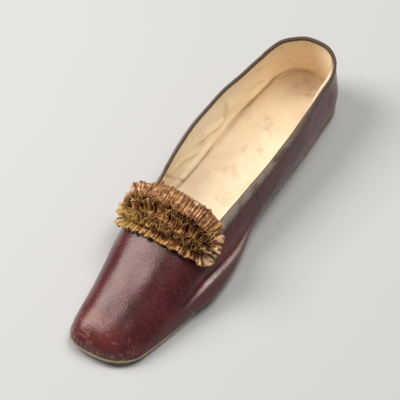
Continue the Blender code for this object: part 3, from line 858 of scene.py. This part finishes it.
def leather_relief(points, edge, sizes):
    """How far the leather stands off its plain form: at the ball a bulge over the sole that ends above in a
    ledge with a trough behind it, small lasting pleats round the toe, and a slight unevenness. All fade
    towards the opening."""
    side, along, height = shoe_coordinates(points)
    share, bulge, over = ball_crease(points)
    off_seat = smooth(height, SEAT_HEIGHT, SEAT_HEIGHT + 3 * MM)
    belly = lerp(bell(height, 7.5 * MM, 4.5 * MM), 1, 0.5)
    lip, trough = bell(over, -1.2 * MM, 1.2 * MM), bell(over, 2.6 * MM, 2.2 * MM)
    relief = bulge * off_seat * belly * smooth(-over, -1.2 * MM, 1.2 * MM)
    relief = relief + share * (0.5 * MM * lip - 0.8 * MM * trough)
    angle = np.arctan2(along - TOE_CENTRE_ALONG, side - TOE_CENTRE_SIDE)
    pleats = np.sin(TOE_PLEATS * angle + 2.2 * ripple(angle / (2 * np.pi), 3, 5, 14))
    front = smooth(along, 216 * MM, 230 * MM) * bell(height, SEAT_HEIGHT + 1.5 * MM, 4 * MM)
    relief = relief + sizes.pleat_depth * pleats * front
    relief = relief * sizes.crease_share + sizes.unevenness * unevenness(points, 20 * MM, 11) * off_seat
    return relief * smooth(edge, *EDGE_FADE)


def lining_wrinkles(points):
    """Height of the lining's wrinkles, and painted shadow lines beside them: bell curves of the distance
    from straight lines on the outer wall, which waver a little and die out towards both ends."""
    side, along, height = shoe_coordinates(points)
    relief, lines = np.zeros_like(side), np.zeros_like(side)
    for row in zip(*LINING_WRINKLES.values()):
        start, end, depth = np.array(row[:2]), np.array(row[2:4]), row[4]
        course = np.stack([along, height], -1) - start
        length, ahead = np.linalg.norm(end - start), unit(end - start)
        share = course @ ahead / length
        off = course @ np.array([-ahead[1], ahead[0]]) + 0.8 * MM * np.sin(along / (4.1 * MM))
        strength = smooth(-side, 0, 12 * MM) * smooth(0.62 - np.abs(share - 0.5), 0, 0.3)
        relief += depth * strength * bell(off, 0, 2.6 * MM)
        lines += depth / MM * strength * bell(off, 1.5 * MM, 1.1 * MM)
    return relief, lines


def length_property(name, description, default):
    """A length that a user may change, from a default in millimetres."""
    return bpy.props.FloatProperty(
        name=name, description=description, default=default * MM, unit="LENGTH", precision=5
    )


class SlipperSizes(bpy.types.PropertyGroup):
    """Sizes that a maker would change."""

    leather: length_property("Leather", "Thickness of the outer leather", 0.7)
    crease_share: bpy.props.FloatProperty(
        name="Creases", description="Share of the worn slipper's creases", default=1.0, min=0, max=1.5
    )
    pleat_depth: length_property("Toe pleats", "Depth of the lasting pleats", 0.22)
    unevenness: length_property("Unevenness", "Height of the leather's waves", 0.14)
    ribbon_half: length_property("Ribbon half width", "From the gathering thread to the ribbon's edge", 6.6)
    ribbon_folds: bpy.props.IntProperty(
        name="Folds", description="Folds of the gathered ribbon once round", default=74, min=12, max=110
    )
    fold_swing: length_property("Fold swing", "Half depth of a fold at its edge", 1.45)
    binding_outside: length_property("Binding outside", "Binding on the outer face", 5.8)
    binding_inside: length_property("Binding inside", "Binding on the lining", 1.5)
    hem_roll: length_property("Hem roll", "Lining rolled over the collar by the heel", 1.5)
    stitch: length_property("Stitch", "Length of a hand stitch", 1.5)


def colour_property(name, description, default):
    """A colour that a user may change."""
    return bpy.props.FloatVectorProperty(
        name=name, description=description, default=default, subtype="COLOR", size=3, min=0, max=1
    )


class SlipperColours(bpy.types.PropertyGroup):
    """Colours of the finishes, in linear light."""

    leather: colour_property("Leather", "Burgundy of the kid", (0.14, 0.025, 0.026))
    # The deep colour also paints the shade band beside the vamp's highlight.
    leather_deep_and_shade: colour_property("Deep leather", "Dark patches and pits of the kid", (0.030, 0.006, 0.008))
    leather_red: colour_property("Red leather", "Warm flecks of the kid", (0.165, 0.036, 0.034))
    # Pale colour of the crease ledge: partly rubbed kid, partly a painted highlight.
    leather_rub_and_highlight: colour_property("Worn leather", "Kid rubbed pale on the crease", (0.64, 0.51, 0.46))
    leather_scuff: colour_property("Scuffed leather", "Worn kid", (0.30, 0.11, 0.095))
    lining: colour_property("Lining", "Cream of the lining", (0.94, 0.83, 0.62))
    lining_heel: colour_property("Heel lining", "Tan of the lining at the heel", (0.93, 0.74, 0.52))
    # Also the painted shade along the lining's folds.
    lining_stain_and_shade: colour_property("Lining stains", "Stains and creases of the lining", (0.46, 0.30, 0.17))
    binding: colour_property("Binding", "Brown of the binding", (0.085, 0.048, 0.033))
    # Also the painted shade on the binding's inner face.
    binding_deep_and_shade: colour_property("Deep binding", "Grooves of the binding", (0.07, 0.042, 0.03))
    # Partly the binding's worn middle, partly a painted highlight on its outer face.
    binding_pale_and_highlight: colour_property("Worn binding", "Worn middle of the binding", (0.44, 0.36, 0.29))
    ribbon: colour_property("Ribbon", "Brown of the ribbon", (0.46, 0.21, 0.075))
    # Also the painted shade in the folds' valleys.
    ribbon_deep_and_shade: colour_property("Deep ribbon", "Folds of the ribbon", (0.12, 0.038, 0.016))
    ribbon_gold: colour_property("Ribbon gold", "Olive gold of the ribbon", (0.52, 0.34, 0.085))
    # Painted highlight on the folds' crests.
    ribbon_crest_highlight: colour_property("Ribbon crests", "Palest crests of the ribbon", (0.80, 0.54, 0.32))
    sole: colour_property("Sole", "Tanned sole", (0.36, 0.23, 0.13))
    sole_deep: colour_property("Worn sole", "Dark wear of the sole", (0.15, 0.09, 0.05))
    sole_edge: colour_property("Sole edge", "Pared edge of the sole", (0.50, 0.42, 0.31))
    floor: colour_property("Floor", "Pale floor", (0.54, 0.54, 0.53))


class SLIPPER_OT_outsole(bpy.types.Operator):
    """Builds the thin turned sole"""

    bl_idname = "slipper.outsole"
    bl_label = "Turned Sole"

    def execute(self, context):
        groove = ((5.2, 0), (4.8, 0.22), (4.4, 0), (1.3, 0))
        edge = ((0.5, 0.25), (0.1, 0.8), (0, 1.5), (0.15, 2.3), (0.6, 2.9), (1.6, 3.2), (4, 3.2))
        profile = np.array(groove + edge)
        points, faces = layer(profile * MM)
        rim = ring_numbers(points, (profile[:, 0] < 1.2) & (profile[:, 1] < 2.5))
        hide = sole_leather(context.scene.slipper_colours)
        add_piece("turned_sole", points, faces, hide, ["outsole"], {"rim": rim})
        return {"FINISHED"}


class SLIPPER_OT_sock(bpy.types.Operator):
    """Builds the sock that lies inside on the sole, turned up at the wall"""

    bl_idname = "slipper.sock"
    bl_label = "Sock"

    def execute(self, context):
        under = ((6, 3.4), (3.2, 3.4), (2.7, 3.8), (2.3, 4.6), (2.0, 5.6), (2.0, 6.5))
        over = ((2.3, 6.9), (2.8, 6.3), (3.6, 5.65), (5.0, 5.1), (7.2, 4.7), (10.5, 4.5))
        profile = np.array(under + over) * MM
        points, faces = layer(profile, sock_ring)
        upper = smooth(shoe_coordinates(points)[2], SOCK_TOP - 0.2 * MM, SOCK_TOP)
        broad = unevenness(points, 34 * MM, 5)
        fine = unevenness(points * (1, 0.45, 1), 12 * MM, 31)
        points[:, 2] += MM * (0.22 * broad + 0.13 * fine) * upper
        # Painted shade in the crease along the sock's rim.
        line = ring_numbers(points, bell(profile[:, 1], SOCK_RIM, 0.8 * MM))
        kid = lining_kid(context.scene.slipper_colours, trodden=0.6)
        add_piece("sock", points, faces, kid, ["insole"], {"fold_line": line})
        return {"FINISHED"}


class SLIPPER_OT_upper(bpy.types.Operator):
    """Builds the creased outer leather"""

    bl_idname = "slipper.upper"
    bl_label = "Upper Leather"

    def execute(self, context):
        sizes = context.scene.slipper_sizes
        points, quads, seat, edge = upper_sheet(
            wall_steps=52, throat_steps=80, run_steps=130, quarter_steps=130
        )
        normals = face_normals(points, quads)
        share, _, over = ball_crease(points)
        # Where the crease ledge is painted pale: partly rubbed wear, partly a painted highlight.
        ledge = np.tile(share * bell(over, -0.4 * MM, 0.65 * MM), 2)
        points = points + normals * leather_relief(points, edge, sizes)[:, None]
        points, faces = wall_behind(points, quads, 0.0, sizes.leather, seat)
        leather = kid_leather(context.scene.slipper_colours)
        add_piece("upper_leather", points, faces, leather, ["upper"], {"ledge": ledge})
        return {"FINISHED"}


class SLIPPER_OT_lining(bpy.types.Operator):
    """Builds the lining behind the leather"""

    bl_idname = "slipper.lining"
    bl_label = "Lining"

    def execute(self, context):
        sizes = context.scene.slipper_sizes
        points, quads, seat, edge = upper_sheet(
            wall_steps=36, throat_steps=60, run_steps=80, quarter_steps=150
        )
        normals = face_normals(points, quads)
        side, along, height = shoe_coordinates(points)
        waves = 0.4 * MM * (1 + unevenness(points * (1, 0.3, 1), 13 * MM, 29))
        waves = np.maximum(waves * smooth(height, SEAT_HEIGHT, 9 * MM), 0)
        wrinkles, dark = lining_wrinkles(points)
        slack = (waves + wrinkles * sizes.crease_share) * smooth(edge, *EDGE_FADE)
        points = points + normals * (leather_relief(points, edge, sizes) - slack)[:, None]
        rim = SOCK_TOP + sock_rise(along) * (SOCK_RIM - SOCK_TOP)
        # fold paints shade in the crease at the sock's rim, most at the outer heel; dark paints shadow
        # beside the wrinkles; seam is the lining's seam line.
        fold = bell(height, rim, 1.5 * MM) * (0.7 + 1.2 * bell(along, 33 * MM, 20 * MM) * (side < 0))
        seam = bell(along - 0.63 * height, LINING_SEAM, 0.9 * MM)
        line = np.tile(fold + 0.6 * dark + 1.2 * seam, 2)
        points, faces = wall_behind(points, quads, sizes.leather + 0.05 * MM, WALL, seat)
        kid = lining_kid(context.scene.slipper_colours)
        add_piece("lining", points, faces, kid, numbers={"fold_line": line})
        return {"FINISHED"}


def stitches(centres, ahead, out, length, width):
    """Stitches as small ellipsoids in one mesh: half circles of latitude and circles of longitude,
    stretched along the seam's direction and set at each centre. Gives their points and faces."""
    latitude, longitude = np.meshgrid(
        np.linspace(-1.3, 1.3, 6), np.linspace(0, 2 * np.pi, 7)[:-1], indexing="ij"
    )
    reaches = (
        (np.sin(latitude) * length, ahead),
        (np.cos(latitude) * np.cos(longitude) * width, unit(np.cross(out, ahead))),
        (np.cos(latitude) * np.sin(longitude) * width, out),
    )
    shape = sum(reach[..., None] / 2 * direction[:, None, None] for reach, direction in reaches)
    numbers = number_grid(latitude.shape)
    starts = latitude.size * np.arange(len(centres))[:, None, None]
    quads = (grid_quads(numbers, closed=1) + starts).reshape(-1, 4)
    caps = (np.stack([numbers[0], numbers[-1][::-1]]) + starts).reshape(-1, numbers.shape[1])
    return (centres[:, None, None] + shape).reshape(-1, 3), quads.tolist() + caps[:, ::-1].tolist()


class SLIPPER_OT_binding(bpy.types.Operator):
    """Builds the ribbon bound over the edge of the opening, and its hand stitches"""

    bl_idname = "slipper.binding"
    bl_label = "Collar Binding"

    def execute(self, context):
        sizes, colours = context.scene.slipper_sizes, context.scene.slipper_colours
        edge, out = collar_face(0.0)
        away = unit(collar_face(2 * MM)[0] - edge)
        path = path_lengths(edge)
        length = path[-1] + np.linalg.norm(edge[0] - edge[-1])
        pucker = (0.5 + 0.5 * ripple(path / length, 17, 60, 130, 12))[:, None]
        sweep = np.concatenate([COLLAR_SWEEP, np.ones_like(THROAT_TURNS)])
        outside = sizes.binding_outside * lerp(0.58, 1, smooth(np.abs(sweep), 0.45, 0.95))
        hem = (smooth(sweep, 0.1, 0.36) * smooth(-sweep, -0.64, -0.4))[:, None]
        lift = BINDING_LIFT
        rows = []
        for share in (1, 0.88, 0.7, 0.5, 0.3, 0.12):
            point, normal = collar_face(outside * share)
            puff = 0.34 * MM * math.sin(math.pi * share)
            rows.append(point + normal * (lift + puff * pucker))
        rows.append(edge + out * lift * 0.8 - away * lift * 0.7)
        rows.append(edge - out * WALL * 0.5 - away * lift * 1.5)
        rows.append(edge - out * (WALL + lift * 0.8) - away * lift * 0.7)
        for share in (0.2, 0.5, 0.8, 1):
            point, normal = collar_face(sizes.binding_inside * share)
            puff = math.sin(math.pi * share) * (0.2 * MM * pucker + sizes.hem_roll * hem)
            rows.append(point - normal * (WALL + lift + puff))
        grid = np.stack(rows, 1)
        quads = grid_quads(number_grid(grid.shape[:2]), closed=0)
        across = np.linspace(0, 1, len(rows))
        values = {"along_edge": path[:, None], "across_edge": across, "hem": hem * (across > 0.6)}
        silk = binding_silk(colours)
        ribbon = add_piece("binding_ribbon", grid, quads, silk, ["collar_binding"], values)
        add_thickness(ribbon, BINDING_THICKNESS)
        thread = sewing_thread("binding_thread", colours.binding_pale_and_highlight, colours.binding)
        self.sew("binding_stitches", sizes, thread, path, length, 0.9 * outside, STITCH_LIFT, 1)
        thread = sewing_thread("lining_thread", colours.lining_stain_and_shade, colours.binding)
        inside = 0.92 * sizes.binding_inside
        self.sew("lining_stitches", sizes, thread, path, length, inside, WALL + STITCH_LIFT, -1)
        return {"FINISHED"}

    def sew(self, name, sizes, thread, path, length, distance, depth, face):
        """One row of stitches on the ribbon, at equal steps along the edge."""
        point, normal = collar_face(distance)
        count = int(length / (STITCH_PITCH * sizes.stitch))
        spot = (np.arange(count) + 0.5) * length / count
        at = between(spot, path, point)
        out = face * unit(between(spot, path, normal))
        ahead = unit(between(spot + 0.3 * MM, path, point) - at + 1e-9)
        slant = unit(ahead + 0.5 * np.cross(out, ahead))
        points, faces = stitches(at + out * depth, slant, out, sizes.stitch, STITCH_WIDTH)
        add_piece(name, points, faces, thread)


class GatheringThread:
    """A thread drawn on the vamp through a ribbon, in equal steps of its length: places, directions, folds.

    The fold angle grows along the thread by a full turn for each fold, less at both ends of the ruche, and
    wavers with seeded ripples."""

    def __init__(self, across, down, folds, depth, seed, closed):
        length = path_lengths(ruche_ground(across, down)[0])
        self.length, self.closed = length[-1], closed
        steps = FOLD_STEPS * folds
        phase = np.arange(steps) / (steps if closed else steps - 1)
        self.phase = phase
        self.across = np.interp(phase * length[-1], length, across)
        self.down = np.interp(phase * length[-1], length, down)
        self.ground, self.normal = ruche_ground(self.across, self.down)
        if closed:
            step = np.roll(self.ground, -3, 0) - np.roll(self.ground, 3, 0)
        else:
            step = np.gradient(self.ground, axis=0)
        self.ahead = unit(step)
        self.outward = unit(np.cross(self.ahead, self.normal))
        self.toe_side = smooth(self.down, 0.42, 0.68)
        self.end = smooth(np.abs(self.across), 0.66, 0.9)
        slow = 0.2 / (4 * np.pi) * np.sin(4 * np.pi * phase) if closed else 0
        self.fold = 2 * np.pi * (folds * (phase - slow) + 0.35 * ripple(phase, seed, 6, 34, 13))
        self.depth = depth * (1 + 0.3 * ripple(phase, seed + 1, 8, 31, 9)) * lerp(1.0, 1.35, self.end)
        self.lean, self.twist = ripple(phase, seed + 2, 9, 40, 9), ripple(phase, seed + 3, 8, 36, 9)
        self.ragged = 1 + 0.08 * ripple(phase, seed + 4, 12, 60, 9)

    def half(self, hand, reach, low, high, swing, pleated=False, rows=11):
        """One half of the ribbon: rows of points from thread to edge, and how near each is to a crest.

        A row lies at a share of the reach, on a line that bends from the low angle off the leather towards
        the high one, in degrees. Folds are added across the half's own face: a sine, or the square root of
        one, which gives pleats with broad crests. A sine of twice the pace along the thread rounds them
        into loops."""
        points, crests = [], []
        for share in np.linspace(0, 1, rows):
            bend = np.radians(lerp(low, high, share / 2))
            turn = self.fold + (0 if pleated else 0.8) * self.twist * share
            shape = 2 * np.sqrt(np.abs(np.sin(turn / 2 + np.pi / 4))) - 1 if pleated else np.sin(turn)
            wave = self.depth * lerp(0.4, swing, share**0.8) * shape
            sway = (0.3 * share if pleated else 1.3 * share**2) * MM * self.lean
            out = hand * (reach * self.ragged * share * np.cos(bend) - wave * np.sin(bend)) + sway
            up = 1.2 * MM + reach * self.ragged * share * np.sin(bend) + wave * np.cos(bend)
            on = -lerp(0.15, 0.5 if pleated else 0.75, share) * MM * np.sin(2 * turn)
            moves = ((self.outward, out), (self.normal, np.maximum(up, 0.35 * MM)), (self.ahead, on))
            points.append(self.ground + sum(direction * move[:, None] for direction, move in moves))
            crests.append(0.5 + 0.5 * shape)
        return np.stack(points, 1), np.stack(crests, 1)


class SLIPPER_OT_ruche(bpy.types.Operator):
    """Builds the gathered ribbons across the throat"""

    bl_idname = "slipper.ruche"
    bl_label = "Ribbon Ruche"

    # Places down and across the ruche of the loop and of the filling, and widths in halves of the ribbon
    LOOP_BACK, LOOP_FRONT, LOOP_INNER = 0.29, 0.86, 0.9
    LOOP_OUTER_BACK, LOOP_OUTER_FRONT, LOOP_WIDTH = 1.0, 0.84, 2.3
    FILLING_INNER, FILLING_OUTER, FILLING_DOWN, FILLING_WIDTH = 0.8, -0.86, 0.57, 2

    def execute(self, context):
        sizes = context.scene.slipper_sizes
        silk = ribbon_silk(context.scene.slipper_colours)
        half, depth = sizes.ribbon_half, sizes.fold_swing
        trace = np.linspace(0, 2 * np.pi, 4001)
        cosine, sine = np.cos(trace), np.sin(trace)
        rise = np.sign(sine) * np.abs(sine) ** LOOP_SQUARENESS
        down = lerp(self.LOOP_BACK, self.LOOP_FRONT, 0.5 - 0.5 * rise)
        tip = lerp(self.LOOP_OUTER_BACK, self.LOOP_OUTER_FRONT, smooth(down, 0.3, 0.9))
        ends = np.where(cosine > 0, self.LOOP_INNER, tip)
        across = ends * np.sign(cosine) * np.abs(cosine) ** LOOP_SQUARENESS
        thread = GatheringThread(across, down, sizes.ribbon_folds, depth, seed=7, closed=True)
        toe, end = thread.toe_side, thread.end
        inner = thread.half(-1, 1.2 * half, low=40, high=84, swing=1.25)
        corner = end * (1 - toe) * (thread.across < 0)
        reach = (lerp(lerp(1.42, 0.8, toe), 1.1, end) + 0.65 * corner) * half
        tilt = 24 * toe + 16 * end * (1 - toe) + 24 * corner
        swing = lerp(0.6, 1.0, np.maximum(toe, end))
        outer = thread.half(1, reach, 12 + tilt, tilt - 14, swing, pleated=True)
        gilt = 0.1 + 0.7 * toe * smooth(-thread.across, -0.3, 0.5) + 0.3 * thread.lean
        self.add_ribbon("ruched_ribbon", thread, (inner, outer), gilt, self.LOOP_WIDTH * half, silk)
        across = np.linspace(self.FILLING_INNER, self.FILLING_OUTER, 2001)
        down = self.FILLING_DOWN + 0.03 * np.sin(9 * across)
        thread = GatheringThread(across, down, sizes.ribbon_folds * 2 // 5, depth, seed=71, closed=False)
        halves = [thread.half(hand, half, low=15, high=78, swing=1.2) for hand in (-1, 1)]
        gilt = 0.3 + 0.4 * thread.lean
        self.add_ribbon("ruche_filling", thread, halves, gilt, self.FILLING_WIDTH * half, silk)
        return {"FINISHED"}

    def add_ribbon(self, name, thread, halves, gilt, cut, silk):
        points, crest = (np.concatenate([inner[:, :0:-1], outer], 1) for inner, outer in zip(*halves))
        quads = grid_quads(number_grid(crest.shape), closed=0 if thread.closed else None)
        values = {
            "ribbon_run": (thread.phase * thread.length * RIBBON_FULLNESS)[:, None],
            "ribbon_width": np.linspace(0, 1, crest.shape[1]),
            "ribbon_end": thread.end[:, None],
            "gilt": np.clip(gilt, 0, 1)[:, None],
            # Nearness to a fold's crest, which paints highlight on the crests and shade in the valleys.
            "fold_crest": crest,
        }
        ribbon = add_piece(name, points, quads, silk, ["ribbon_ruche"], values)
        add_thickness(ribbon, RIBBON_THICKNESS)
        area = np.linalg.norm(diagonal_products(points.reshape(-1, 3), quads), axis=1).sum() / 2


def aim_at(thing, target, roll=0.0):
    """Turns a light or camera so that it looks at a target."""
    look = (Vector(target) - thing.location).to_track_quat("-Z", "Y")
    thing.rotation_mode = "QUATERNION"
    thing.rotation_quaternion = look @ Quaternion((0, 0, 1), roll)


class SLIPPER_OT_stage(bpy.types.Operator):
    """Sets up the camera, the soft lights and the pale floor"""

    bl_idname = "slipper.stage"
    bl_label = "Stage"

    AIM = (-3.4 * MM, -4.9 * MM, 20 * MM)
    AZIMUTH, ELEVATION, DISTANCE = math.radians(40.8), math.radians(54.9), 1.117
    ROLL, LENS, SENSOR = math.radians(-5.7), 168.0, 36
    # Name, place, size in metres, power in watts and colour of each light
    LIGHTS = (
        ("key", (-0.70, -0.26, 0.95), (0.55, 0.8), 13.2, (1.0, 0.97, 0.94)),
        ("top", (0.24, 0.42, 1.4), (0.8, 0.8), 15, (1.0, 0.98, 0.95)),
    )
    LIGHT_AIM = (0, 0, 0.02)
    ROOM = (0.165, 0.168, 0.172, 1)
    FLOOR_REACH, FLOOR_DROP = 3, 0.2 * MM

    def execute(self, context):
        scene = context.scene
        camera = bpy.data.objects.new("camera", bpy.data.cameras.new("camera"))
        scene.collection.objects.link(camera)
        flat = math.cos(self.ELEVATION)
        offset = (flat * math.sin(self.AZIMUTH), -flat * math.cos(self.AZIMUTH), math.sin(self.ELEVATION))
        camera.location = Vector(self.AIM) + self.DISTANCE * Vector(offset)
        camera.data.lens, camera.data.sensor_width = self.LENS, self.SENSOR
        aim_at(camera, self.AIM, self.ROLL)
        scene.camera = camera
        for light in self.LIGHTS:
            self.light(*light)
        world = bpy.data.worlds.new("room")
        world.use_nodes = True
        world.node_tree.nodes["Background"].inputs["Color"].default_value = self.ROOM
        scene.world = world
        scene.view_settings.view_transform = "Standard"
        rows = np.linspace(-self.FLOOR_REACH, self.FLOOR_REACH, 41)
        side, along = np.meshgrid(rows, rows, indexing="ij")
        points = np.stack([side, along, np.full_like(side, -self.FLOOR_DROP)], -1)
        quads = grid_quads(number_grid(side.shape))[:, ::-1]
        floor = new_object("floor", points, quads, floor_paper(scene.slipper_colours))
        return {"FINISHED"}

    def light(self, name, spot, size, power, colour):
        """A soft rectangle of light aimed at the slipper."""
        lamp = bpy.data.lights.new(name, "AREA")
        lamp.shape = "RECTANGLE"
        lamp.size, lamp.size_y = size
        lamp.energy, lamp.color = power, colour
        holder = bpy.data.objects.new(name, lamp)
        holder.location = spot
        aim_at(holder, self.LIGHT_AIM)
        bpy.context.scene.collection.objects.link(holder)


class SLIPPER_PT_panel(bpy.types.Panel):
    """Lists the pieces of the slipper"""

    bl_idname = "SLIPPER_PT_panel"
    bl_label = "Slipper"
    bl_space_type = "VIEW_3D"
    bl_region_type = "UI"
    bl_category = "Slipper"

    def draw(self, context):
        for group in (context.scene.slipper_sizes, context.scene.slipper_colours):
            for name in group.__annotations__:
                self.layout.prop(group, name)
        for operator in OPERATORS:
            self.layout.operator(operator.bl_idname)


OPERATORS = (
    SLIPPER_OT_stage,
    SLIPPER_OT_outsole,
    SLIPPER_OT_sock,
    SLIPPER_OT_upper,
    SLIPPER_OT_lining,
    SLIPPER_OT_binding,
    SLIPPER_OT_ruche,
)
CLASSES = (SlipperSizes, SlipperColours, *OPERATORS, SLIPPER_PT_panel)


def register():
    """Registers the classes, and hangs their settings on the scene."""
    for cls in CLASSES:
        bpy.utils.register_class(cls)
    bpy.types.Scene.slipper_sizes = bpy.props.PointerProperty(type=SlipperSizes)
    bpy.types.Scene.slipper_colours = bpy.props.PointerProperty(type=SlipperColours)


def unregister():
    """Takes the settings and classes away again."""
    del bpy.types.Scene.slipper_colours
    del bpy.types.Scene.slipper_sizes
    for cls in reversed(CLASSES):
        bpy.utils.unregister_class(cls)


def main():
    """Registers the add-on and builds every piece."""
    register()
    bpy.ops.slipper.stage()
    bpy.ops.slipper.outsole()
    bpy.ops.slipper.sock()
    bpy.ops.slipper.upper()
    bpy.ops.slipper.lining()
    bpy.ops.slipper.binding()
    bpy.ops.slipper.ruche()


if __name__ == "__main__":
    main()
